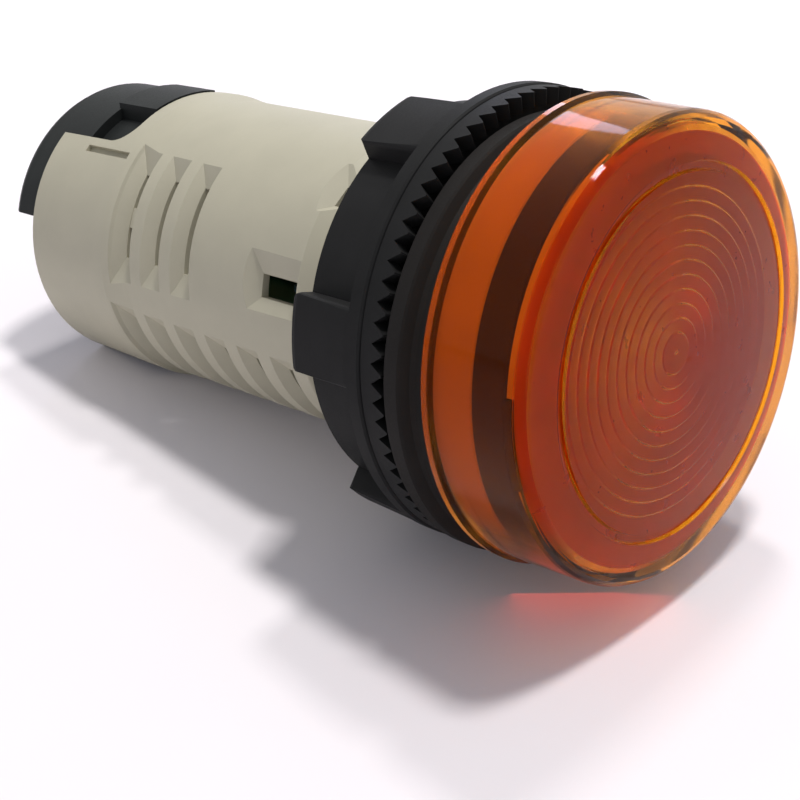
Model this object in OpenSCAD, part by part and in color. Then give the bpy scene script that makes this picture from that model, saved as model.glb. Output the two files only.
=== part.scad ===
// Panel pilot light: one-piece indicator for a 22 mm panel hole, with an amber lens,
// a vented body, a toothed ring nut and two screw terminals at the rear.
// Every part is drawn along +Z, front end up, with the panel's front face at Z = 0,
// and lay() then turns the light so that its lens looks along -Y and its top is +Z.

/* [Head] */
// radius of the head: the lens's lip and the ring nut's flange
head_r = 14.5; // [14:0.05:15]

/* [Lens] */
// height of the rear lip of the lens along the axis
lens_lip_h = 0.6; // [0.3:0.05:1]
// step from the lip in to the lens skirt
lens_skirt_inset = 0.25; // [0.1:0.05:0.5]
// step from the lip in to the skirt's front corner
lens_front_inset = 0.4; // [0.2:0.05:0.8]
// length of the lens from its rear edge to the front corner
lens_len = 6.75; // [5:0.05:9]
// rounding of the front corner
lens_corner = 0.9; // [0.3:0.05:1.4]
// thickness of the lens skirt
lens_wall = 0.9; // [0.6:0.05:1.2]
// thickness of the lens front at its edge
lens_front_t = 0.8; // [0.6:0.05:1.5]
// radius of the raised, domed front face
lens_face_r = 10.7; // [9:0.05:12]
// width of the fine groove round the domed face
lens_groove_w = 0.5; // [0.2:0.05:1]
// depth of that groove
lens_groove_d = 0.22; // [0.1:0.02:0.4]
// rise of the front from its corner to the groove
lens_shoulder_rise = 0.2; // [0:0.05:0.5]
// rise of the domed face from its edge to the middle
lens_dome = 0.6; // [0.2:0.05:1.5]
// number of ring steps moulded inside the domed face
fresnel_rings = 11; // [4:1:14]
// height of each ring step
fresnel_h = 0.12; // [0.06:0.02:0.3]

/* [Head inside the lens] */
// outer radius of the body's head flange
flange_r = 13.2; // [12.5:0.05:13.6]
// thickness of the head flange
flange_t = 2.8; // [2:0.1:4]
// radius of the seat for the round lamp board
board_seat_r = 12.2; // [11:0.1:12.6]
// depth of the head flange behind that seat
board_seat_z = 0.9; // [0.5:0.1:1.5]
// outer radius of the black retaining collar
collar_r = 13.15; // [12.5:0.05:13.3]
// height of the retaining collar's ring
collar_h = 2.25; // [1.5:0.05:3]
// height of the collar's four tabs above its ring
collar_tab_h = 0.35; // [0.2:0.05:0.6]
// angle each tab covers
collar_tab_deg = 23.5; // [10:0.5:40]
// turn of the tabs from the top
collar_turn = 3; // [0:0.5:45]
// outer radius of the reflector's rim
reflector_rim_r = 13; // [12.4:0.05:13.2]
// thickness of the reflector's rim
reflector_rim_t = 0.6; // [0.4:0.05:1]
// wall of the reflector bowl
reflector_wall = 0.7; // [0.5:0.05:1.2]
// radius of the reflector bowl at the lamp board
reflector_base_r = 10.2; // [9:0.1:11]

/* [Gasket] */
// thickness of the rubber gasket between panel and head
gasket_t = 2.85; // [1:0.05:3.5]
// outer radius of the gasket
gasket_r = 13.7; // [13.3:0.05:14.2]
// height of the gasket's straight outer edge
gasket_edge_h = 1.05; // [0.5:0.05:2]
// depth of the step from that edge in to the gasket's neck
gasket_step = 0.75; // [0.3:0.05:1]
// radial slack of the gasket on the threaded neck, on which it hangs
gasket_slack = 0.95; // [0.1:0.05:1.2]
// angle from the top towards which the loose gasket hangs
gasket_hang_deg = 116; // [90:1:180]

/* [Ring nut] */
// gap left between the nut's teeth and the gasket
nut_gap = 0.2; // [0.1:0.05:3]
// step from the nut's flange in to its toothed rim
nut_rim_inset = 0.12; // [0:0.02:0.4]
// length of the toothed rim with its teeth
nut_rim_len = 1.6; // [1.2:0.05:2]
// length of the whole flange
nut_flange_len = 2.9; // [2.3:0.05:4]
// number of teeth that bite the panel
nut_teeth = 76; // [48:1:96]
// height of the teeth
nut_tooth_h = 0.8; // [0.4:0.05:1.2]
// width of the toothed ring across the radius
nut_tooth_ring = 1.0; // [0.6:0.1:2]
// radius of the nut's barrel
nut_barrel_r = 12.8; // [12.2:0.05:13.5]
// length of the whole nut
nut_len = 7.8; // [6:0.05:10]
// number of grip lobes
nut_lobes = 6; // [4:1:8]
// step from the flange in to the rear end of the grip lobes
nut_lobe_inset = 0.2; // [0:0.05:0.5]
// angle one grip lobe covers
nut_lobe_deg = 19.8; // [12:0.2:30]
// rounding of the lobe's long edges
nut_lobe_round = 0.35; // [0.2:0.05:0.8]
// rounding of the lobe's rear corners, seen from outside
nut_lobe_corner = 1.0; // [0.4:0.1:1.6]
// turn of the first lobe from the top
nut_lobe_turn = 19; // [0:1:59]

/* [Body] */
// crest radius of the threaded neck, for a 22.5 mm hole
neck_r = 11.1; // [11:0.05:11.2]
// depth of the neck's thread
thread_depth = 0.35; // [0.2:0.05:0.6]
// pitch of the neck's thread
thread_pitch = 1.5; // [1:0.25:2]
// number of thread rings
thread_turns = 5; // [3:1:7]
// distance from the panel's front face to the first thread ring
thread_start = 0.75; // [0.5:0.05:2]
// radius of the relief between thread and body
relief_r = 9.8; // [9.5:0.05:10.4]
// distance from the panel's front face to the body's shoulder
shoulder_z = 11.55; // [10:0.05:14]
// length of the shoulder's slope
shoulder_len = 1.2; // [0.5:0.1:2]
// radius of the body just behind the shoulder
body_front_r = 10.35; // [10:0.05:10.8]
// radius of the body in front of its flared rear
body_mid_r = 10.5; // [10.2:0.05:10.8]
// radius of the flare at the terminal cut-outs
body_flare_r = 10.8; // [10.5:0.05:11]
// radius of the body at its rear edge
body_rear_r = 10.7; // [10.4:0.05:11]
// distance from the panel's front face to the body's rear edge
body_rear_z = 40.45; // [36:0.05:44]
// bore of the body
body_bore_r = 9.2; // [8.8:0.05:9.5]
// bore of the neck
neck_bore_r = 8.9; // [8.5:0.05:9.2]

/* [Vents] */
// pitch of the vent pockets along the body
vent_pitch = 3.25; // [2.5:0.05:4]
// width of a vent pocket at the surface
vent_w = 2.1; // [1.5:0.05:2.6]
// width of the slit through the wall
vent_slit_w = 1.3; // [0.4:0.05:1.5]
// radius of the pocket's floor
vent_floor_r = 9.75; // [9.5:0.05:10.2]
// pockets in the upper row
vents_upper = 3; // [2:1:5]
// pockets in the lower row
vents_lower = 7; // [4:1:7]
// distance from the panel plane to the front of the rearmost upper pocket
vent_upper_z = 28.6; // [26:0.05:32]
// distance from the panel plane to the front of the rearmost lower pocket
vent_lower_z = 29.05; // [26:0.05:32]
// angle from the top to the start of the upper row
vent_upper_deg = 37.5; // [35:0.5:50]
// angle from the top to the start of the lower row
vent_lower_deg = 103; // [95:1:110]
// angle a pocket covers at the surface
vent_span_deg = 48; // [40:1:54]
// angle a pocket and its slit cover at the floor
vent_floor_deg = 36; // [30:1:42]
// turn from the middle of the rearmost upper slit to the bridge across it
vent_bridge_turn = 1; // [-8:0.5:8]
// angle that bridge covers
vent_bridge_deg = 8.5; // [4:0.5:14]

/* [Windows] */
// radius of the latch windows' floor
window_floor_r = 9.75; // [9.5:0.05:10]
// width of the opening in a window
window_open_w = 1.55; // [1:0.05:2.5]
// distance from the window's middle to the opening's near side
window_open_x = 0.4; // [0:0.05:1]
// half width of a window at the body's surface
window_half_w = 2.2; // [1.5:0.05:3]
// length of the slope at a window's rear end
window_slope = 1.4; // [0.6:0.1:2]
// turn of the latch window from the top
latch_window_deg = 72.8; // [65:0.1:80]
// distance from the panel plane to the latch window's rear edge
latch_window_z = 16.8; // [14:0.05:20]
// length of the latch window
latch_window_len = 5.2; // [3:0.1:6]
// turn of the shoulder window from the top
shoulder_window_deg = 32.5; // [25:0.1:40]
// distance from the panel plane to the shoulder window's rear edge
shoulder_window_z = 12.6; // [11.5:0.05:14]
// length of the shoulder window
shoulder_window_len = 3.4; // [2:0.1:5]

/* [Marking groove] */
// turn of the groove beside the cut-out from the top
groove_deg = 39.6; // [36:0.1:45]
// width of the groove
groove_w = 0.55; // [0.3:0.05:1]
// depth of the groove below the flare's radius
groove_depth = 0.4; // [0.1:0.05:0.6]
// length of the groove
groove_len = 5; // [2:0.1:8]
// distance from the panel plane to the groove's rear end
groove_z = 36.6; // [34:0.05:39]

/* [Terminals] */
// length of the whole body and terminal block behind the panel plane
rear_z = 43.15; // [38:0.05:48]
// half width of the body's terminal cut-outs
cutout_half_w = 6.1; // [5:0.1:8]
// distance from the panel plane to the front of the cut-outs
cutout_z = 32.85; // [30:0.05:36]
// rounding of the cut-outs' corners
cutout_round = 1.8; // [0.5:0.1:3]
// radius of the terminal block's outer faces
block_r = 10.5; // [10:0.05:10.7]
// radius over the latch tongues
tongue_r = 10.9; // [10.5:0.05:11]
// half width of a latch tongue
tongue_half_w = 2.8; // [2:0.1:4]
// length of a latch tongue behind the cut-out's front
tongue_len = 4.65; // [3:0.05:6]
// radius of the sunk flanks beside the tongues
flank_r = 9.7; // [9.3:0.05:10]
// height of the hood's lower edge above the axis
hood_y = 3.25; // [3.1:0.05:5]
// distance between each terminal's axis and the middle
terminal_x = 5.6; // [5:0.1:6]
// height of a terminal opening
mouth_h = 5.9; // [5:0.1:6.5]
// radius of the terminal screw's thread
screw_r = 1.5; // [1.25:0.05:2]
// radius of the terminal screw's head
screw_head_r = 2.75; // [2.4:0.05:3]
// height of the terminal screw's head
screw_head_h = 1.6; // [1.2:0.1:2.2]
// length of the terminal screw below its head
screw_len = 6; // [5:0.1:8]
// depth of the screw heads below the hood's rear edge
screw_recess = 3.1; // [1.5:0.05:4]
// thickness of the clamp washer
clamp_t = 0.8; // [0.6:0.05:1.2]
// side of the square clamp washer
clamp_side = 5.4; // [4.5:0.1:5.8]
// thickness of the threaded contact plate
contact_t = 1.2; // [1:0.1:1.6]
// thickness of the contact's leg
leg_t = 0.8; // [0.5:0.1:1]

/* [Electronics] */
// thickness of both circuit boards
board_t = 1.0; // [0.8:0.1:1.6]
// half width of the long driver board
driver_half_w = 7.4; // [6:0.1:8]
// distance from the panel plane to the driver board's rear end
driver_rear_z = 30.8; // [28:0.1:33]
// number of light-emitting diodes round the lamp board
led_count = 6; // [3:1:8]
// radius of the ring the diodes stand on
led_ring_r = 5.6; // [4:0.1:7]
// pitch of the four header pins
pin_pitch = 2; // [1.5:0.1:2.2]
// radius of a header pin
pin_r = 0.35; // [0.25:0.05:0.4]
// distance of the header pins above the axis
pin_y = 1.2; // [1:0.05:2]

/* [Clearances] */
// gap between parts that rest on each other
seat_gap = 0.02; // [0:0.01:0.1]
// radial clearance of the nut and gasket on the neck
neck_fit = 0.05; // [0.02:0.01:0.1]
// radial clearance of the terminal screws in their washers and plates
screw_fit = 0.05; // [0.02:0.01:0.1]
// gap between the terminal block and the body
block_gap = 0.1; // [0.05:0.05:0.3]

/* [Hidden] */
$fn = 48;
eps = 0.01;
lens_z = gasket_t + seat_gap;
flange_z = gasket_t + seat_gap;
flange_top = flange_z + flange_t;
lens_lip_r = head_r;
lens_skirt_r = head_r - lens_skirt_inset;
lens_front_r = head_r - lens_front_inset;
nut_flange_r = head_r;
nut_rim_r = head_r - nut_rim_inset;
nut_lobe_r = head_r - nut_lobe_inset;
lens_in_r = lens_skirt_r - lens_wall;
lens_in_front_r = lens_front_r - lens_wall;
lens_in_z = lens_z + lens_len + lens_shoulder_rise - lens_groove_d - lens_front_t;
lens_top = lens_z + lens_len + lens_shoulder_rise;
led_board_z = flange_z + board_seat_z + seat_gap;
led_board_top = led_board_z + board_t;
collar_z = flange_top + seat_gap;
collar_top = collar_z + collar_h;
rim_z = collar_top + seat_gap;
rim_top = rim_z + reflector_rim_t;
nut_z = -nut_gap;
nut_bore_r = neck_r + neck_fit;
head_z = -(rear_z - screw_recess - screw_head_h);
clamp_z = head_z;
contact_z = clamp_z + clamp_t + seat_gap;
block_front_z = -(driver_rear_z + 0.5);
thread_end = thread_start + thread_turns * thread_pitch;
gasket_bore_r = neck_r + gasket_slack;
flush_z = -body_rear_z - block_gap;
pin_spots = [for (i = [-1.5 : 1 : 1.5]) i * pin_pitch];

// ---------- helpers ----------

// turns a part drawn along +Z into the light's own position
module lay() rotate([90, 0, 0]) children();

// repeats a feature on the opposite side of the axis
module both_sides() {
    children();
    rotate([0, 0, 180]) children();
}

// a prism across the body: its outline is given as [along the axis, outwards]
module across(half_w, outline) {
    rotate([90, 0, 90]) translate([0, 0, -half_w]) linear_extrude(2 * half_w)
        polygon([for (p = outline) [p[1], p[0]]]);
}

// points of an arc, for profiles
function arc(cx, cy, r, a0, a1, n) =
    [for (i = [0 : n]) let (a = a0 + (a1 - a0) * i / n) [cx + r * cos(a), cy + r * sin(a)]];

// a pie-shaped prism centred on the top, for cutting by angle
module sector(half_deg, r, z0, z1) {
    translate([0, 0, z0]) linear_extrude(z1 - z0)
        polygon([[0, 0], [r * sin(half_deg), r * cos(half_deg)], [r * sin(half_deg / 2), 1.2 * r],
            [-r * sin(half_deg / 2), 1.2 * r], [-r * sin(half_deg), r * cos(half_deg)]]);
}

// ---------- head ----------

dome_r = (pow(lens_face_r, 2) + pow(lens_dome, 2)) / (2 * lens_dome);
dome_half_deg = asin(lens_face_r / dome_r);
fresnel_pitch = (lens_face_r - 1.4) / fresnel_rings;

function lens_outer() = concat(
    [[lens_in_r, lens_z], [lens_lip_r - 0.1, lens_z], [lens_lip_r, lens_z + 0.1],
     [lens_lip_r, lens_z + lens_lip_h - 0.1], [lens_skirt_r, lens_z + lens_lip_h + 0.15]],
    arc(lens_front_r - lens_corner, lens_z + lens_len - lens_corner, lens_corner, 0, 80, 4),
    [[lens_face_r + lens_groove_w + 0.1, lens_top], [lens_face_r + lens_groove_w, lens_top - lens_groove_d],
     [lens_face_r + 0.1, lens_top - lens_groove_d], [lens_face_r, lens_top]],
    [for (i = [1 : 6]) let (a = dome_half_deg * (1 - i / 6))
        [dome_r * sin(a), lens_top + lens_dome - dome_r * (1 - cos(a))]]);

function lens_inner() = concat(
    [[0, lens_in_z + fresnel_h]],
    [for (i = [0 : fresnel_rings - 1]) each
        [[1.2 + i * fresnel_pitch, lens_in_z + fresnel_h * 0.9], [1.2 + i * fresnel_pitch + 0.1, lens_in_z]]],
    [[lens_in_front_r - 0.35, lens_in_z], [lens_in_front_r, lens_in_z - 0.35]]);

module lens() {
    color([0.85, 0.42, 0.08, 0.6]) lay() rotate_extrude() polygon(concat(lens_outer(), lens_inner()));
}

module collar_tabs(extra, root, inset) {
    for (k = [0 : 3]) rotate([0, 0, 90 * k + collar_turn])
        intersection() {
            sector(collar_tab_deg / 2 + extra, 20, collar_top - root, collar_top + collar_tab_h + extra * 0.1);
            difference() {
                cylinder(r = collar_r - inset, h = 30);
                translate([0, 0, -1]) cylinder(r = board_seat_r - 0.05 + inset, h = 32);
            }
        }
}

module collar() {
    spigot_r = board_seat_r - 0.15;
    color([0.07, 0.07, 0.07]) lay() {
        rotate_extrude() polygon([[11.2, led_board_top + seat_gap], [spigot_r, led_board_top + seat_gap],
            [spigot_r, collar_z], [collar_r, collar_z], [collar_r, collar_top - 0.1],
            [collar_r - 0.1, collar_top], [board_seat_r - 0.05, collar_top],
            [board_seat_r - 0.05, collar_z + 0.6], [11.2, collar_z + 0.4]]);
        collar_tabs(0, 0.3, 0.04);
    }
}

module reflector() {
    lip_r = board_seat_r - 0.2;
    base_z = led_board_top + seat_gap;
    color([0.93, 0.93, 0.9]) lay() difference() {
        rotate_extrude() polygon([[reflector_base_r - reflector_wall, base_z], [reflector_base_r, base_z],
            [lip_r, rim_z], [reflector_rim_r, rim_z], [reflector_rim_r, rim_top - 0.1],
            [reflector_rim_r - 0.1, rim_top], [lip_r - reflector_wall + 0.2, rim_top]]);
        collar_tabs(0.5, eps, 0);
    }
}

module led_board() {
    color([0.9, 0.92, 0.88]) lay() difference() {
        translate([0, 0, led_board_z]) cylinder(r = board_seat_r - 0.2, h = board_t);
        pin_holes(0.1);
    }
}

module pin_holes(extra) {
    for (x = pin_spots)
        translate([x, pin_y, 0]) cylinder(r = pin_r + extra, h = 20, $fn = 16);
}

module leds() {
    z = led_board_top + seat_gap;
    color([0.95, 0.85, 0.5]) lay() for (k = [0 : led_count - 1]) rotate([0, 0, 360 / led_count * (k + 0.5)])
        translate([0, led_ring_r, z]) {
            translate([-1.4, -1.75, 0]) cube([2.8, 3.5, 0.9]);
            cylinder(r = 1.15, h = 1.25, $fn = 24);
            translate([0, 0, 1.25 - eps]) cylinder(r1 = 1.15, r2 = 0.7, h = 0.4, $fn = 24);
        }
}

// pins that join the driver board to the lamp board, each bent down onto the driver board
module header_pins() {
    foot_z = -2.6;
    foot_y = board_t / 2 + seat_gap;
    color([0.85, 0.75, 0.4]) lay() for (x = pin_spots) {
        translate([x, pin_y, foot_z]) cylinder(r = pin_r, h = led_board_top + 2 * pin_r - foot_z, $fn = 16);
        translate([x - pin_r, foot_y, foot_z - 1.2]) cube([2 * pin_r, pin_y + pin_r - 0.15 - foot_y, 1.6]);
    }
}

// ---------- gasket and nut ----------

module gasket() {
    step_r = gasket_r - gasket_step;
    color([0.08, 0.08, 0.09]) lay() rotate([0, 0, gasket_hang_deg])
        translate([0, gasket_slack - seat_gap, 0]) rotate_extrude()
            polygon([[gasket_bore_r, 0], [gasket_r - 0.12, 0], [gasket_r, 0.12],
                [gasket_r, gasket_edge_h], [gasket_r - 0.12, gasket_edge_h + 0.12],
                [step_r + 0.15, gasket_edge_h + 0.45], [step_r, gasket_edge_h + 0.75],
                [step_r, gasket_t], [gasket_bore_r, gasket_t]]);
}

module nut_teeth() {
    pitch = 2 * PI * nut_rim_r / nut_teeth;
    valley = nut_z - nut_tooth_h;
    for (i = [0 : nut_teeth - 1]) rotate([0, 0, 360 / nut_teeth * i])
        translate([0, nut_rim_r + 0.5, 0]) rotate([90, 0, 0]) linear_extrude(nut_tooth_ring + 1)
            polygon([[-pitch * 0.46, nut_z + eps], [pitch * 0.46, nut_z + eps], [0, valley]]);
}

// outline of a grip lobe across the axis: a wedge with rounded outer edges
function lobe_wedge(half, r_in, r_out, e) = let (b = half - asin(e / (r_out - e)))
    concat([[-r_in * sin(half), r_in * cos(half)]],
        [for (i = [0 : 4]) let (a = -half - 90 + (90 + half - b) * i / 4)
            [-(r_out - e) * sin(b) + e * sin(a), (r_out - e) * cos(b) + e * cos(a)]],
        [for (i = [1 : 5]) let (a = -b + 2 * b * i / 6) [r_out * sin(a), r_out * cos(a)]],
        [for (i = [0 : 4]) let (a = b + (90 + half - b) * i / 4)
            [(r_out - e) * sin(b) + e * sin(a), (r_out - e) * cos(b) + e * cos(a)]],
        [[r_in * sin(half), r_in * cos(half)]]);

module nut_grips() {
    rear = nut_z - nut_len;
    front = nut_z - nut_flange_len + 0.6;
    half = nut_lobe_deg / 2;
    w = nut_flange_r * sin(half);
    e = nut_lobe_corner;
    for (i = [0 : nut_lobes - 1]) rotate([0, 0, nut_lobe_turn + 360 / nut_lobes * i]) intersection() {
        translate([0, 0, rear]) linear_extrude(front - rear)
            polygon(lobe_wedge(half, nut_barrel_r - 0.6, nut_flange_r - 0.05, nut_lobe_round));
        translate([0, 5, 0]) rotate([-90, 0, 0]) {
            translate([-w, -front, 0]) cube([2 * w, front - rear - e, 20]);
            translate([-w + e, -front, 0]) cube([2 * w - 2 * e, front - rear, 20]);
            for (s = [-1, 1]) translate([s * (w - e), -rear - e, 0]) cylinder(r = e, h = 20, $fn = 32);
        }
        rotate_extrude() polygon(concat([[0, rear], [nut_lobe_r - 0.6, rear]],
            arc(nut_lobe_r - 0.6, rear + 0.6, 0.6, -80, 0, 3),
            [[nut_flange_r - 0.05, nut_z - nut_flange_len], [nut_flange_r - 0.05, front + 1],
                [0, front + 1]]));
    }
}

module nut() {
    rear = nut_z - nut_len;
    face = nut_z - nut_tooth_h;
    color([0.13, 0.14, 0.15]) lay() difference() {
        union() {
            rotate_extrude() polygon([[10, face], [nut_rim_r - nut_tooth_ring, face],
                [nut_rim_r - nut_tooth_ring, nut_z], [nut_rim_r, nut_z], [nut_rim_r, nut_z - nut_rim_len],
                [nut_rim_r - 0.12, nut_z - nut_rim_len - 0.06],
                    [nut_flange_r - 0.1, nut_z - nut_rim_len - 0.12],
                [nut_flange_r, nut_z - nut_rim_len - 0.24], [nut_flange_r, nut_z - nut_flange_len + 0.2],
                [nut_flange_r - 0.25, nut_z - nut_flange_len], [nut_barrel_r + 0.2, nut_z - nut_flange_len],
                [nut_barrel_r, nut_z - nut_flange_len - 0.2], [nut_barrel_r, rear + 0.3],
                [nut_barrel_r - 0.3, rear], [10, rear]]);
            nut_grips();
        }
        nut_teeth();
        translate([0, 0, rear - 1]) cylinder(r = nut_bore_r, h = nut_len + 2);
        rotate_extrude() polygon(concat([[11, face + 0.1], [nut_bore_r + 0.4, face + 0.1]],
            [for (i = [0 : 3]) each let (z = face - 0.6 - i * thread_pitch)
                [[nut_bore_r - 0.05, z], [nut_bore_r + 0.3, z - 0.5], [nut_bore_r + 0.3, z - 0.7],
                 [nut_bore_r - 0.05, z - 1.2]]],
            [[nut_bore_r + 0.4, rear - 0.1], [11, rear - 0.1]]));
    }
}

// ---------- body ----------

function thread_rings() = [for (i = [0 : thread_turns - 1]) each
    let (z = -thread_start - i * thread_pitch)
    [[neck_r, z], [neck_r - thread_depth, z - 0.45], [neck_r - thread_depth, z - 0.75],
     [neck_r, z - 1.2]]];

module body_shell() {
    rotate_extrude() polygon(concat(
        [[flange_r, flange_z], [flange_r, flange_top - 0.1],
         [flange_r - 0.1, flange_top], [board_seat_r, flange_top], [board_seat_r, flange_z + board_seat_z],
         [neck_bore_r, flange_z + board_seat_z], [neck_bore_r, -shoulder_z + 1.4],
         [body_bore_r, -shoulder_z + 1.1], [body_bore_r, -body_rear_z],
         [body_rear_r - 0.1, -body_rear_z], [body_rear_r, -body_rear_z + 0.1],
         [body_flare_r, -cutout_z + 1.3], [body_mid_r, -cutout_z + 3.8],
         [body_front_r, -shoulder_z], [relief_r, -shoulder_z + shoulder_len],
         [relief_r, -thread_end - 0.4], [neck_r, -thread_end + 0.1]],
        [for (i = [len(thread_rings()) - 1 : -1 : 0]) thread_rings()[i]],
        [[neck_r, flange_z]]));
}

// one row of vents: hopper-shaped pockets, each with a slit through the wall at its front side
module vent_row(count, first_z, start_deg, slits) {
    mid = start_deg + vent_span_deg / 2;
    floor_half = vent_floor_deg / 2;
    rise = (vent_span_deg - vent_floor_deg) / 2 / (body_mid_r - vent_floor_r);
    out_r = 12.5;
    out_half = floor_half + rise * (out_r - vent_floor_r);
    x0 = vent_floor_r * sin(floor_half);
    y0 = vent_floor_r * cos(floor_half);
    x1 = out_r * sin(out_half);
    y1 = out_r * cos(out_half);
    rotate([0, 0, mid]) {
        intersection() {
            for (i = [0 : count - 1]) translate([0, 0, -first_z + i * vent_pitch])
                rotate_extrude() polygon([[vent_floor_r, 0], [12, 0], [12, -vent_w - 0.9],
                    [body_mid_r, -vent_w], [vent_floor_r, -vent_slit_w]]);
            translate([0, 0, -first_z - 4]) linear_extrude(count * vent_pitch + 5)
                polygon([[x0, 0], [x0, y0], [x1, y1], [0, 18], [-x1, y1], [-x0, y0], [-x0, 0]]);
        }
        intersection() {
            for (i = [0 : slits - 1]) translate([0, 0, -first_z - vent_slit_w + i * vent_pitch])
                difference() {
                    cylinder(r = vent_floor_r + 0.1, h = vent_slit_w);
                    translate([0, 0, -1]) cylinder(r = neck_bore_r - 0.2, h = vent_slit_w + 2);
                }
            sector(floor_half, 12, -first_z - 4, 5);
        }
    }
}

// the bridge that splits the rearmost upper slit in two
module vent_bridge() {
    rotate([0, 0, vent_upper_deg + vent_span_deg / 2 + vent_bridge_turn]) intersection() {
        translate([0, 0, -vent_upper_z - vent_slit_w - 0.2]) difference() {
            cylinder(r = vent_floor_r - 0.05, h = vent_slit_w + 0.4);
            translate([0, 0, -1]) cylinder(r = body_bore_r + 0.15, h = vent_slit_w + 3);
        }
        sector(vent_bridge_deg / 2, 12, -vent_upper_z - 4, 5);
    }
}

// a latch window: a pocket with three sloped sides and an opening through its floor
module window(turn, rear, length) {
    edge_y = sqrt(pow(body_mid_r, 2) - pow(window_half_w, 2));
    near_x = window_open_x;
    far_x = window_open_x - window_open_w;
    rise = edge_y - window_floor_r;
    rotate([0, 0, turn]) {
        intersection() {
            across(6, [[-rear, body_mid_r], [-rear + window_slope, window_floor_r],
                [-rear + length, window_floor_r], [-rear + length, 13],
                [-rear - window_slope, 13], [-rear - window_slope, 2 * body_mid_r - window_floor_r]]);
            translate([0, 0, -rear - 3]) linear_extrude(length + 3)
                polygon([[far_x, window_floor_r - eps], [near_x, window_floor_r - eps],
                    [window_half_w, edge_y], [2 * window_half_w - near_x, edge_y + rise],
                    [2 * window_half_w - near_x, 13], [-2 * window_half_w - far_x, 13],
                    [-2 * window_half_w - far_x, edge_y + rise], [-window_half_w, edge_y]]);
        }
        translate([far_x, 8, -rear + window_slope]) cube([window_open_w, 3, length - window_slope - 0.5]);
    }
}

// outline of a terminal cut-out, seen from outside, shrunk by gap
module cutout(gap, y0) {
    w = cutout_half_w - gap;
    e = cutout_round - gap;
    top = -cutout_z - gap;
    translate([0, y0, 0]) rotate([-90, 0, 0]) {
        translate([-w, -top + e, 0]) cube([2 * w, 20, 20]);
        translate([-w + e, -top, 0]) cube([2 * w - 2 * e, 20, 20]);
        for (s = [-1, 1]) translate([s * (w - e), -top + e, 0]) cylinder(r = e, h = 20, $fn = 32);
    }
}

module housing() {
    color([0.86, 0.84, 0.78]) lay() {
        difference() {
            body_shell();
            both_sides() {
                vent_row(vents_upper, vent_upper_z, vent_upper_deg, vents_upper);
                vent_row(vents_lower, vent_lower_z, vent_lower_deg, vents_lower - 1);
                window(latch_window_deg, latch_window_z, latch_window_len);
                window(shoulder_window_deg, shoulder_window_z, shoulder_window_len);
                cutout(0, 4);
                rotate([0, 0, groove_deg]) translate([-groove_w / 2, body_flare_r - groove_depth, -groove_z])
                    cube([groove_w, 3, groove_len]);
            }
        }
        both_sides() vent_bridge();
    }
}

// ---------- terminal block ----------

module block_outside() {
    core_r = body_bore_r - block_gap;
    translate([0, 0, flush_z]) cylinder(r = core_r, h = block_front_z - flush_z);
    // hood over the terminals, behind the body's rear edge
    intersection() {
        rotate_extrude() polygon([[0, -rear_z], [block_r - 0.6, -rear_z], [block_r - 0.17, -rear_z + 0.18],
            [block_r, -rear_z + 0.6], [block_r, flush_z + eps], [0, flush_z + eps]]);
        translate([-20, hood_y, -rear_z - 1]) cube([40, 20, rear_z]);
    }
    both_sides() {
        intersection() {
            translate([0, 0, flush_z]) cylinder(r = block_r, h = rear_z);
            cutout(block_gap, 5);
        }
        // latch tongue
        intersection() {
            translate([0, 0, -cutout_z - tongue_len]) cylinder(r = tongue_r, h = tongue_len + 1);
            translate([-tongue_half_w, 8, -cutout_z - tongue_len])
                cube([2 * tongue_half_w, 4, tongue_len - block_gap]);
        }
    }
}

// the sunk flanks beside each latch tongue
module tongue_flanks() {
    rear = -cutout_z - tongue_len + 0.2;
    difference() {
        translate([0, 0, rear]) cylinder(r = 12, h = tongue_len + 1);
        translate([0, 0, rear - 1]) cylinder(r = flank_r, h = tongue_len + 3);
        translate([-tongue_half_w, -15, rear - 1]) cube([2 * tongue_half_w, 30, tongue_len + 3]);
        translate([-15, -5, rear - 1]) cube([30, 10, tongue_len + 3]);
    }
}

// everything cut away for one terminal
module terminal_pocket() {
    h = mouth_h / 2;
    translate([terminal_x, 0, 0]) {
        translate([0, 0, -rear_z - 1]) cylinder(r = screw_head_r + 0.15, h = 8);
        translate([0, 0, contact_z]) cylinder(r = screw_r + 0.3, h = screw_len);
    }
    // pocket of washer and contact plate, open at the side
    translate([terminal_x - h, -h, contact_z - 2.7]) cube([10, mouth_h, contact_t + 2.8]);
    // wire mouth through the rim
    translate([8.2, -h - 0.3, -rear_z - 1]) cube([5, mouth_h + 0.6, 6]);
    // channel of the contact's leg
    translate([7.35, -1.65, contact_z]) cube([3, 3.3, 12]);
}

module terminal_block() {
    color([0.1, 0.11, 0.12]) lay() difference() {
        block_outside();
        tongue_flanks();
        both_sides() terminal_pocket();
    }
}

module contact() {
    plate = 5.4;
    leg_x = 8.3;
    foot_z = -driver_rear_z + 0.6;
    difference() {
        union() {
            translate([terminal_x - plate / 2, -plate / 2, contact_z]) cube([plate, plate, contact_t]);
            translate([leg_x - leg_t, -1.5, contact_z]) cube([leg_t, 3, -contact_z + foot_z + 3]);
            translate([6, board_t / 2 + seat_gap, foot_z]) cube([leg_x - 6, 0.95, 3]);
        }
        translate([terminal_x, 0, contact_z - 1])
            cylinder(r = screw_r + screw_fit, h = contact_t + 2, $fn = 32);
    }
}

module clamp() {
    translate([terminal_x, 0, clamp_z]) difference() {
        translate([-clamp_side / 2, -clamp_side / 2, 0]) cube([clamp_side, clamp_side, clamp_t]);
        translate([0, 0, -1]) cylinder(r = screw_r + screw_fit, h = clamp_t + 2, $fn = 32);
        for (s = [-1, 1]) translate([-4, s * 1.4 - 0.2, clamp_t - 0.2]) cube([8, 0.4, 1]);
    }
}

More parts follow.
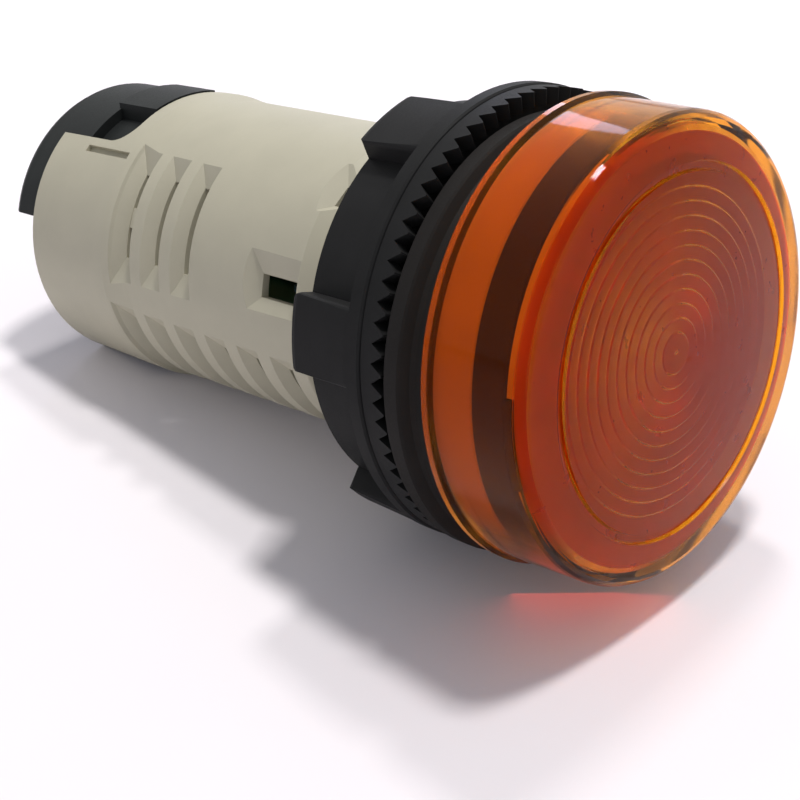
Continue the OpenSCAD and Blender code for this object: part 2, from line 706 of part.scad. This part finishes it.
module screw() {
    top = head_z - screw_head_h;
    translate([terminal_x, 0, 0]) difference() {
        union() {
            rotate_extrude($fn = 40) polygon([[0, top], [screw_head_r - 0.35, top],
                [screw_head_r, top + 0.35], [screw_head_r, head_z - seat_gap], [0, head_z - seat_gap]]);
            translate([0, 0, head_z - 0.1]) cylinder(r = screw_r, h = screw_len - 0.4, $fn = 32);
            translate([0, 0, head_z + screw_len - 0.5 - eps])
                cylinder(r1 = screw_r, r2 = 1.1, h = 0.5, $fn = 32);
        }
        translate([-4, -0.3, top - 1]) cube([8, 0.6, 1.9]);
        translate([-0.3, -1.6, top - 1]) cube([0.6, 3.2, 2.2]);
    }
}

module contact_x1() { color([0.8, 0.66, 0.35]) lay() rotate([0, 0, 180]) contact(); }
module contact_x2() { color([0.8, 0.66, 0.35]) lay() contact(); }
module clamp_x1() { color([0.75, 0.75, 0.76]) lay() rotate([0, 0, 180]) clamp(); }
module clamp_x2() { color([0.75, 0.75, 0.76]) lay() clamp(); }
module screw_x1() { color([0.72, 0.72, 0.74]) lay() rotate([0, 0, 180]) screw(); }
module screw_x2() { color([0.72, 0.72, 0.74]) lay() screw(); }

// ---------- electronics ----------

module driver_board() {
    front = -1.2;
    color([0.1, 0.35, 0.2]) lay() difference() {
        translate([-driver_half_w, -board_t / 2, -driver_rear_z])
            cube([2 * driver_half_w, board_t, driver_rear_z + front]);
        lead_holes(0.06);
    }
}

// where the component leads pass through the driver board: [across, along the axis]
lead_spots = [[-2.5, -25], [-2.5, -15], [3.4, -26.5], [3.4, -16.5], [-5.4, -26.5], [-5.4, -16.5],
    [-1.2, -9.5], [-1.2, -4.5]];

module lead_holes(extra) {
    for (p = lead_spots) translate([p[0], 5, p[1]]) rotate([90, 0, 0])
        cylinder(r = 0.35 + extra, h = 10, $fn = 16);
}

// the leads numbered a to b in lead_spots, from y0 to y1
module leads(a, b, y0, y1) {
    for (i = [a : b]) translate([lead_spots[i][0], y1, lead_spots[i][1]])
        rotate([90, 0, 0]) cylinder(r = 0.35, h = y1 - y0, $fn = 16);
}

module capacitor() {
    y0 = board_t / 2 + seat_gap;
    color([0.75, 0.6, 0.15]) lay() {
        translate([-4.9, y0 + 0.2, -27]) cube([5.9, 6.2, 14]);
        leads(0, 1, -board_t / 2 - 0.7, y0 + 0.4);
    }
}

module smoothing_capacitor() {
    color([0.12, 0.14, 0.3]) lay() {
        translate([-1.2, -board_t / 2 - 2.9, -12]) cylinder(r = 2.6, h = 9);
        translate([-1.2, -board_t / 2 - 2.9, -3.1]) cylinder(r = 2.3, h = 0.5);
        leads(6, 7, -board_t / 2 - 1.4, board_t / 2 + 0.6);
    }
}

module rectifier() {
    y0 = board_t / 2 + seat_gap;
    color([0.09, 0.09, 0.1]) lay() translate([1.6, y0, -11.5]) {
        translate([0, 0.25, 0]) cube([4.6, 2.4, 6.2]);
        for (s = [0, 1]) for (z = [0.8, 4.6]) translate([s * 4.6 - (s == 0 ? 0.9 : 0.1), 0, z])
            cube([1, 0.6, 0.8]);
    }
}

module resistors() {
    color([0.55, 0.7, 0.8]) lay() for (x = [3.4, -5.4]) translate([x, -board_t / 2 - 1.6, -25]) {
        cylinder(r = 1.25, h = 7, $fn = 32);
        translate([0, 0, -1.85]) cylinder(r = 0.35, h = 10.7, $fn = 16);
        for (z = [-1.5, 8.5]) translate([0, 3, z]) rotate([90, 0, 0]) cylinder(r = 0.35, h = 3.35, $fn = 16);
    }
}

module varistor() {
    y1 = -board_t / 2 - 0.4;
    color([0.15, 0.35, 0.6]) lay() {
        translate([-2.2, y1 - 3.4, -21]) rotate([0, 90, 0]) cylinder(r = 3.2, h = 2.6);
        for (z = [-23.5, -18.5]) translate([-1.1, y1 + 0.38, z]) rotate([90, 0, 0])
            cylinder(r = 0.35, h = 3, $fn = 16);
    }
}

lens();
reflector();
collar();
led_board();
leds();
header_pins();
housing();
gasket();
nut();
driver_board();
capacitor();
smoothing_capacitor();
rectifier();
resistors();
varistor();
terminal_block();
contact_x1();
contact_x2();
clamp_x1();
clamp_x2();
screw_x1();
screw_x2();
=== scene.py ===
import math

import bmesh
import bpy
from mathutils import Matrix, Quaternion, Vector


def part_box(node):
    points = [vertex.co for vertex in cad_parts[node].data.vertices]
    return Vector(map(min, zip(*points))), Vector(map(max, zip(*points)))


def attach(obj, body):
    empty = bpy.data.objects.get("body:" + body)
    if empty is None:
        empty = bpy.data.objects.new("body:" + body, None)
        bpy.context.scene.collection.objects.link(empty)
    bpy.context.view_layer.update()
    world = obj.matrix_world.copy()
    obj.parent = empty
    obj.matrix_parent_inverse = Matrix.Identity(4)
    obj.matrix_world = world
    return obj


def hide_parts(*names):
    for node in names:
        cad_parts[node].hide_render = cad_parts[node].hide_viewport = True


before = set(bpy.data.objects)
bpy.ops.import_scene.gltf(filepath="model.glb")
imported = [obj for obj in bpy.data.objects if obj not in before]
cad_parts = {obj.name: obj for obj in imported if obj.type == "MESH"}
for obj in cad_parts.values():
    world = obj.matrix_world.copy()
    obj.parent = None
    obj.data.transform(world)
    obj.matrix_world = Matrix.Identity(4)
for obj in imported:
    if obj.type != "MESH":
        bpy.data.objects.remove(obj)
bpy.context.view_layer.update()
scene = bpy.context.scene
MM = 0.001

# ---------------------------------------------------------------- sizes and places

# the lens piece: how its faces are told apart
RING_DEPTH = 2.4 * MM  # the lens's front to just behind its rings
RING_REACH = 13.3 * MM  # the axis to just outside the last ring
LOOKS_BACK = 0.2  # a face whose normal has more of +Y than this looks at the rear
LOOKS_IN = -0.3  # a face whose normal has less of the way out than this looks at the axis

# the camera, fitted to the outlines of the part in the photograph
SENSOR = 36.0
FOCAL_LENGTH = 69.77
SHIFT = (0.075, -0.15625)
CAMERA_PLACE = Vector((-68.38, -57.11, 37.95)) * MM
CAMERA_TURN = math.radians(42.20)  # from +Y towards +X
CAMERA_DIP = math.radians(20.74)
CAMERA_ROLL = math.radians(-6.64)

# the table
FLOOR_REACH = 3.0
FLOOR_GAP = 0.04 * MM  # below the body's rear foot
REAR_FOOT_FROM = 39 * MM  # the body's rear foot lies beyond this
FADE_FROM, FADE_TO = 0.06, 0.16  # distances from the rear foot between which it turns white
FADE_LEAST, FADE_MOST = 0.02, 0.60

# the room and the lamps
ROOM_COLOUR = (0.93, 0.95, 1.0)
ROOM_STRENGTH = 0.44
LAMP_AIM = (0.0, 0.012, 0.0)
LAMP_WHITE = (1.0, 0.98, 0.95)
WINDOW_BLUE = (0.66, 0.70, 1.0)
GLOW_RED = (1.0, 0.07, 0.03)

# noise scales, in cycles per metre
BLOTCHES = 260.0  # slow drift of a moulding's colour
GRAIN = 9000.0  # a moulding's fine grain
MARKS = (200.0, 4000.0, 200.0)  # fine marks across the part's axis, on metal
CLOUDS = 120.0  # slow drift of the amber
FLOW = 700.0  # flow marks in the amber
PAPER = 35.0  # slow drift of the table's white


def put(obj):
    """Link a new object into the scene."""
    scene.collection.objects.link(obj)
    return obj


def dress(obj, mat):
    obj.data.materials.clear()
    obj.data.materials.append(mat)


# ---------------------------------------------------------------- node helpers

def new_material(name):
    mat = bpy.data.materials.new(name)
    mat.use_nodes = True
    return mat, mat.node_tree, mat.node_tree.nodes["Principled BSDF"]


def object_coords(tree, scale=(1.0, 1.0, 1.0)):
    coords = tree.nodes.new("ShaderNodeTexCoord")
    mapping = tree.nodes.new("ShaderNodeMapping")
    mapping.inputs["Scale"].default_value = scale
    tree.links.new(coords.outputs["Object"], mapping.inputs["Vector"])
    return mapping.outputs["Vector"]


def noise(tree, vector, scale, detail):
    node = tree.nodes.new("ShaderNodeTexNoise")
    node.inputs["Scale"].default_value = scale
    node.inputs["Detail"].default_value = detail
    node.inputs["Roughness"].default_value = 0.55
    tree.links.new(vector, node.inputs["Vector"])
    return node.outputs["Fac"]


def ramp(tree, factor, *stops):
    """A colour ramp between two (position, colour) stops."""
    node = tree.nodes.new("ShaderNodeValToRGB")
    for element, (position, colour) in zip(node.color_ramp.elements, stops):
        element.position = position
        element.color = (*colour, 1.0)
    tree.links.new(factor, node.inputs["Fac"])
    return node.outputs["Color"]


def grey(value):
    return (value, value, value)


def shade(colour, k):
    return tuple(min(1.0, c * k) for c in colour)


def drift(tree, factor, span, colour, least, most):
    """The colour times least to most, as the factor goes over the span."""
    low, high = span
    return ramp(tree, factor, (low, shade(colour, least)), (high, shade(colour, most)))


def bumps(tree, shader, height, strength, distance):
    node = tree.nodes.new("ShaderNodeBump")
    node.inputs["Strength"].default_value = strength
    node.inputs["Distance"].default_value = distance
    tree.links.new(height, node.inputs["Height"])
    tree.links.new(node.outputs["Normal"], shader.inputs["Normal"])


def maths(tree, operation, first, second):
    node = tree.nodes.new("ShaderNodeMath")
    node.operation = operation
    tree.links.new(first, node.inputs[0])
    tree.links.new(second, node.inputs[1])
    return node.outputs[0]


# ---------------------------------------------------------------- materials

def moulded(name, colour, rough, vary, bump=0.08, spec=0.5):
    """Moulded plastic: slow colour drift, and fine grain in the bump and the roughness."""
    mat, tree, shader = new_material(name)
    place = object_coords(tree)
    slow = noise(tree, place, BLOTCHES, 3.0)
    fine = noise(tree, place, GRAIN, 5.0)
    tint = drift(tree, slow, (0.3, 0.7), colour, 1.0 - vary, 1.0 + vary)
    tree.links.new(tint, shader.inputs["Base Color"])
    satin = drift(tree, fine, (0.3, 0.7), grey(rough), 0.9, 1.12)
    tree.links.new(satin, shader.inputs["Roughness"])
    bumps(tree, shader, fine, bump, 0.05 * MM)
    shader.inputs["Specular IOR Level"].default_value = spec
    return mat


def metal(name, colour, rough):
    mat, tree, shader = new_material(name)
    marks = noise(tree, object_coords(tree, MARKS), 1.0, 3.0)
    tint = drift(tree, marks, (0.25, 0.75), colour, 0.86, 1.08)
    tree.links.new(tint, shader.inputs["Base Color"])
    satin = drift(tree, marks, (0.2, 0.8), grey(rough), 0.7, 1.3)
    tree.links.new(satin, shader.inputs["Roughness"])
    shader.inputs["Metallic"].default_value = 1.0
    return mat


def amber(name, colour, rough):
    """Clear amber plastic: a tint that drifts a little, and faint flow marks in the bump.

    Its IOR is lower than the real plastic's and its glare is tinted, because the photograph
    shows little glare.
    """
    mat, tree, shader = new_material(name)
    place = object_coords(tree)
    slow = noise(tree, place, CLOUDS, 2.0)
    fine = noise(tree, place, FLOW, 3.0)
    tint = drift(tree, slow, (0.3, 0.7), colour, 0.96, 1.04)
    tree.links.new(tint, shader.inputs["Base Color"])
    satin = drift(tree, fine, (0.3, 0.75), grey(rough), 0.7, 1.6)
    tree.links.new(satin, shader.inputs["Roughness"])
    bumps(tree, shader, fine, 0.03, 0.1 * MM)
    shader.inputs["Transmission Weight"].default_value = 1.0
    shader.inputs["IOR"].default_value = 1.27
    shader.inputs["Specular Tint"].default_value = (0.38, 0.26, 0.28, 1.0)
    return mat


CREAM = moulded("cream_plastic", (0.45, 0.425, 0.33), 0.50, 0.03, bump=0.10, spec=0.26)
BLACK = moulded("nut_black_plastic", (0.015, 0.015, 0.0155), 0.5, 0.12, bump=0.12, spec=0.07)
BLOCK = moulded("block_black_plastic", (0.018, 0.020, 0.020), 0.5, 0.12, bump=0.12, spec=0.09)
RUBBER = moulded("gasket_rubber", (0.012, 0.0105, 0.010), 0.6, 0.15, bump=0.15, spec=0.11)
COLLAR = moulded("collar_black_plastic", (0.025, 0.022, 0.026), 0.45, 0.1, bump=0.02, spec=0.3)
WHITE = moulded("reflector_white_plastic", (0.55, 0.53, 0.47), 0.35, 0.03)
BOARD_WHITE = moulded("lamp_board_mask", (0.55, 0.56, 0.50), 0.35, 0.03)
BOARD_GREEN = moulded("driver_board_mask", (0.03, 0.16, 0.07), 0.35, 0.1)
LED = moulded("diode_resin", (0.75, 0.62, 0.25), 0.25, 0.05)
FILM = moulded("film_capacitor_case", (0.55, 0.36, 0.05), 0.35, 0.05)
SLEEVE = moulded("capacitor_sleeve", (0.02, 0.03, 0.09), 0.3, 0.1)
CHIP = moulded("rectifier_mould", (0.02, 0.02, 0.022), 0.5, 0.1)
RESISTOR = moulded("resistor_lacquer", (0.25, 0.42, 0.52), 0.35, 0.08)
DISC = moulded("varistor_lacquer", (0.03, 0.10, 0.35), 0.35, 0.08)
TIN = metal("tinned_pins", (0.75, 0.72, 0.62), 0.28)
BRASS = metal("contact_brass", (0.78, 0.58, 0.26), 0.3)
ZINC = metal("zinc_plated_steel", (0.66, 0.66, 0.65), 0.32)
AMBER = amber("amber_polycarbonate", (0.92, 0.33, 0.012), 0.05)
AMBER_WALL = amber("amber_inner_wall", (0.96, 0.38, 0.020), 0.16)
AMBER_RINGS = amber("amber_ring_side", (0.64, 0.085, 0.002), 0.36)

DRESS = {
    "housing": CREAM, "nut": BLACK, "terminal_block": BLOCK, "gasket": RUBBER, "collar": COLLAR,
    "reflector": WHITE, "led_board": BOARD_WHITE, "leds": LED, "header_pins": TIN,
    "driver_board": BOARD_GREEN, "capacitor": FILM, "smoothing_capacitor": SLEEVE,
    "rectifier": CHIP, "resistors": RESISTOR, "varistor": DISC, "contact_x1": BRASS,
    "contact_x2": BRASS, "clamp_x1": ZINC, "clamp_x2": ZINC, "screw_x1": ZINC, "screw_x2": ZINC,
    "lens": AMBER,
}
for node_name, node_mat in DRESS.items():
    dress(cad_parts[node_name], node_mat)


# ---------------------------------------------------------------- lens

def lens_finish(face, centre, lens_front):
    """A face's material slot: 0 clear, 1 the satin inner side of the wall, 2 the rings."""
    way_out = Vector((centre.x, 0.0, centre.z))
    reach = way_out.length
    behind_front = face.normal.y > LOOKS_BACK and centre.y < lens_front + RING_DEPTH
    if behind_front and reach < RING_REACH:
        return 2
    if reach > 0 and face.normal.dot(way_out / reach) < LOOKS_IN:
        return 1
    return 0


def lens_moulding():
    """The CAD lens again: clear outside, satin inside its wall and frosted on its rings."""
    lens_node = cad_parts["lens"]
    piece = put(bpy.data.objects.new("lens_moulding", lens_node.data.copy()))
    piece.matrix_world = lens_node.matrix_world
    piece.data.materials.clear()
    for mat in (AMBER, AMBER_WALL, AMBER_RINGS):
        piece.data.materials.append(mat)
    lens_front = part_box("lens")[0].y
    for face in piece.data.polygons:
        centre = piece.matrix_world @ face.center
        face.material_index = lens_finish(face, centre, lens_front)
    return piece


lens_piece = lens_moulding()
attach(lens_piece, "base")
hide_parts("lens")


# ---------------------------------------------------------------- camera

def photo_camera():
    data = bpy.data.cameras.new("camera")
    data.sensor_width = SENSOR
    data.lens = FOCAL_LENGTH
    data.shift_x, data.shift_y = SHIFT
    data.clip_start = 0.001
    data.clip_end = 50.0
    camera = put(bpy.data.objects.new("camera", data))
    camera.location = CAMERA_PLACE
    ahead = Vector((math.sin(CAMERA_TURN) * math.cos(CAMERA_DIP),
                    math.cos(CAMERA_TURN) * math.cos(CAMERA_DIP), -math.sin(CAMERA_DIP)))
    roll = Quaternion((0, 0, 1), CAMERA_ROLL)
    camera.rotation_mode = "QUATERNION"
    camera.rotation_quaternion = ahead.to_track_quat("-Z", "Y") @ roll
    return camera


scene.camera = photo_camera()


# ---------------------------------------------------------------- table

def points(node_name):
    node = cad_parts[node_name]
    return [node.matrix_world @ vertex.co for vertex in node.data.vertices]


def table_plane():
    """The plane that the light lies on, under its body's rear edge and its nut or lens."""
    rear = [p for p in points("housing") if p.y > REAR_FOOT_FROM]
    rear_foot = min(rear, key=lambda p: p.z)
    front = points("nut") + points("lens")
    slope = max((rear_foot.z - p.z) / (rear_foot.y - p.y) for p in front)
    return rear_foot, slope


def white_table():
    """Matt white paper, which turns plain white for the camera away from the part."""
    mat, tree, shader = new_material("white_table")
    paper = noise(tree, object_coords(tree), PAPER, 3.0)
    tint = ramp(tree, paper, (0.3, (0.87, 0.83, 0.87)), (0.7, (0.89, 0.85, 0.89)))
    tree.links.new(tint, shader.inputs["Base Color"])
    shader.inputs["Roughness"].default_value = 0.7
    shader.inputs["Specular IOR Level"].default_value = 0.2

    spot = tree.nodes.new("ShaderNodeTexCoord")
    away = tree.nodes.new("ShaderNodeVectorMath")
    away.operation = "LENGTH"
    tree.links.new(spot.outputs["Object"], away.inputs[0])
    fade = tree.nodes.new("ShaderNodeMapRange")
    fade.inputs["From Min"].default_value = FADE_FROM
    fade.inputs["From Max"].default_value = FADE_TO
    fade.inputs["To Min"].default_value = FADE_LEAST
    fade.inputs["To Max"].default_value = FADE_MOST
    tree.links.new(away.outputs["Value"], fade.inputs["Value"])
    rays = tree.nodes.new("ShaderNodeLightPath")
    strength = maths(tree, "MULTIPLY", rays.outputs["Is Camera Ray"], fade.outputs["Result"])
    glow = tree.nodes.new("ShaderNodeEmission")
    glow.inputs["Color"].default_value = (0.90, 0.88, 1.0, 1.0)
    tree.links.new(strength, glow.inputs["Strength"])

    add = tree.nodes.new("ShaderNodeAddShader")
    tree.links.new(shader.outputs["BSDF"], add.inputs[0])
    tree.links.new(glow.outputs["Emission"], add.inputs[1])
    tree.links.new(add.outputs["Shader"], tree.nodes["Material Output"].inputs["Surface"])
    return mat


def table():
    mesh = bpy.data.meshes.new("floor")
    grid = bmesh.new()
    bmesh.ops.create_grid(grid, x_segments=2, y_segments=2, size=FLOOR_REACH)
    grid.to_mesh(mesh)
    grid.free()
    floor = put(bpy.data.objects.new("floor", mesh))
    rear_foot, slope = table_plane()
    floor.location = rear_foot - Vector((0, 0, FLOOR_GAP))
    floor.rotation_euler = (math.atan(slope), 0, 0)
    dress(floor, white_table())
    return floor


table()


# ---------------------------------------------------------------- room and lamps

def background(tree, colour, strength):
    node = tree.nodes.new("ShaderNodeBackground")
    node.inputs["Color"].default_value = (*colour, 1.0)
    node.inputs["Strength"].default_value = strength
    return node.outputs["Background"]


def room():
    """Soft light on the part, and plain white where the room is seen or mirrored."""
    world = bpy.data.worlds.new("room")
    world.use_nodes = True
    tree = world.node_tree
    tree.nodes.clear()
    out = tree.nodes.new("ShaderNodeOutputWorld")
    rays = tree.nodes.new("ShaderNodeLightPath").outputs
    seen = maths(tree, "MAXIMUM", rays["Is Camera Ray"], rays["Is Transmission Ray"])
    seen = maths(tree, "MAXIMUM", seen, rays["Is Glossy Ray"])
    swap = tree.nodes.new("ShaderNodeMixShader")
    tree.links.new(seen, swap.inputs["Fac"])
    tree.links.new(background(tree, ROOM_COLOUR, ROOM_STRENGTH), swap.inputs[1])
    tree.links.new(background(tree, grey(1.0), 1.0), swap.inputs[2])
    tree.links.new(swap.outputs["Shader"], out.inputs["Surface"])
    return world


def lamp(name, place, size, power, colour, aim=LAMP_AIM):
    """A rectangular lamp at a place, looking at its aim."""
    data = bpy.data.lights.new(name, "AREA")
    data.energy = power
    data.color = colour
    data.shape = "RECTANGLE"
    data.size, data.size_y = size
    obj = put(bpy.data.objects.new(name, data))
    obj.location = Vector(place)
    obj.rotation_mode = "QUATERNION"
    obj.rotation_quaternion = (Vector(aim) - obj.location).to_track_quat("-Z", "Y")
    return obj


scene.world = room()
lamp("key", (0.065, -0.10, 0.465), (0.06, 0.06), 1.38, LAMP_WHITE)
lamp("key_low", (0.17, 0.05, 0.44), (0.05, 0.05), 0.60, LAMP_WHITE)
lamp("window", (0.327, 0.301, 0.25), (0.045, 0.16), 0.12, WINDOW_BLUE)

# stands in for the light that the lens tints on its way to the table
glow_lamp = lamp("lens_glow", (-0.0055, -0.0070, -0.0125), (0.010, 0.010), 0.00016, GLOW_RED,
                 aim=(-0.0095, -0.0105, -0.017))
glow_lamp.visible_camera = False
glow_lamp.visible_glossy = False
glow_lamp.visible_transmission = False

scene.view_settings.view_transform = "Standard"
